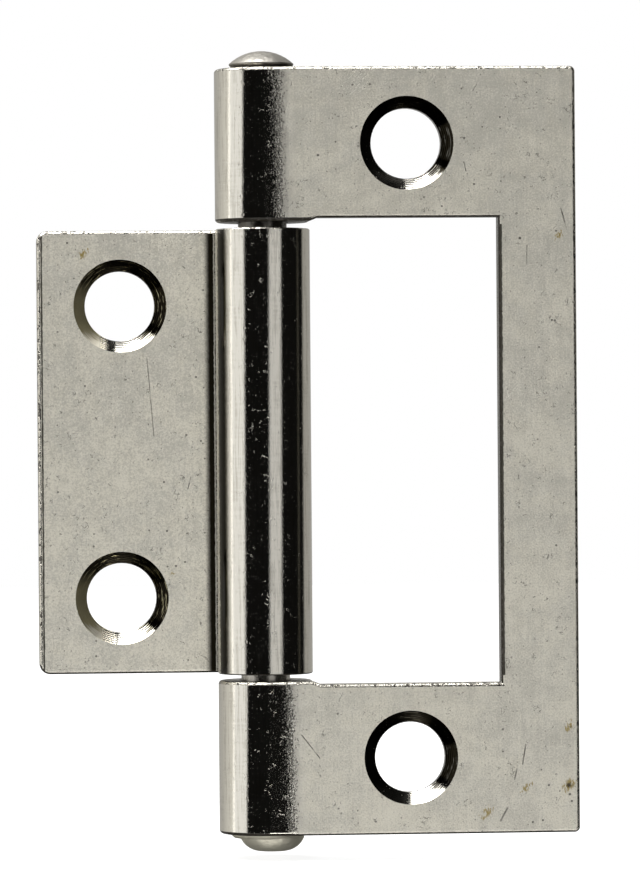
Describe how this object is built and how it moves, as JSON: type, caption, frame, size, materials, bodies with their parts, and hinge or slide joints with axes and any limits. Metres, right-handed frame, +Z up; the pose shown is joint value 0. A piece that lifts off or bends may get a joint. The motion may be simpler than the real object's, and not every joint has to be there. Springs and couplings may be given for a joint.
{
  "type": "louvre door hinge",
  "caption": "Flush louvre door hinge of pressed sheet: a windowed large leaf, an insert leaf that folds into the window, rolled knuckles on a headed pin, countersunk screw holes.",
  "frame": {"origin": "middle of the large leaf's two screw holes, on its back face", "axes": "+Z up along the pin, +X from the pin to the large leaf's free edge, +Y out of the backs of both leaves into the wood"},
  "size_m": [0.035, 0.0061, 0.0524],
  "materials": {
    "leaf_plate": "satin",
    "pin_plate": "bright"
  },
  "bodies": {
    "fixed_leaf": {"large_leaf": "leaf_plate", "hinge_pin": "pin_plate"},
    "swing_leaf": {"small_leaf": "leaf_plate"}
  },
  "joints": [
    {"name": "leaf_swing", "type": "hinge", "parent": "fixed_leaf", "child": "swing_leaf", "pos_m": [-0.00925, 0.00165, 0], "axis": [0, 0, 1], "continuous": true}
  ]
}
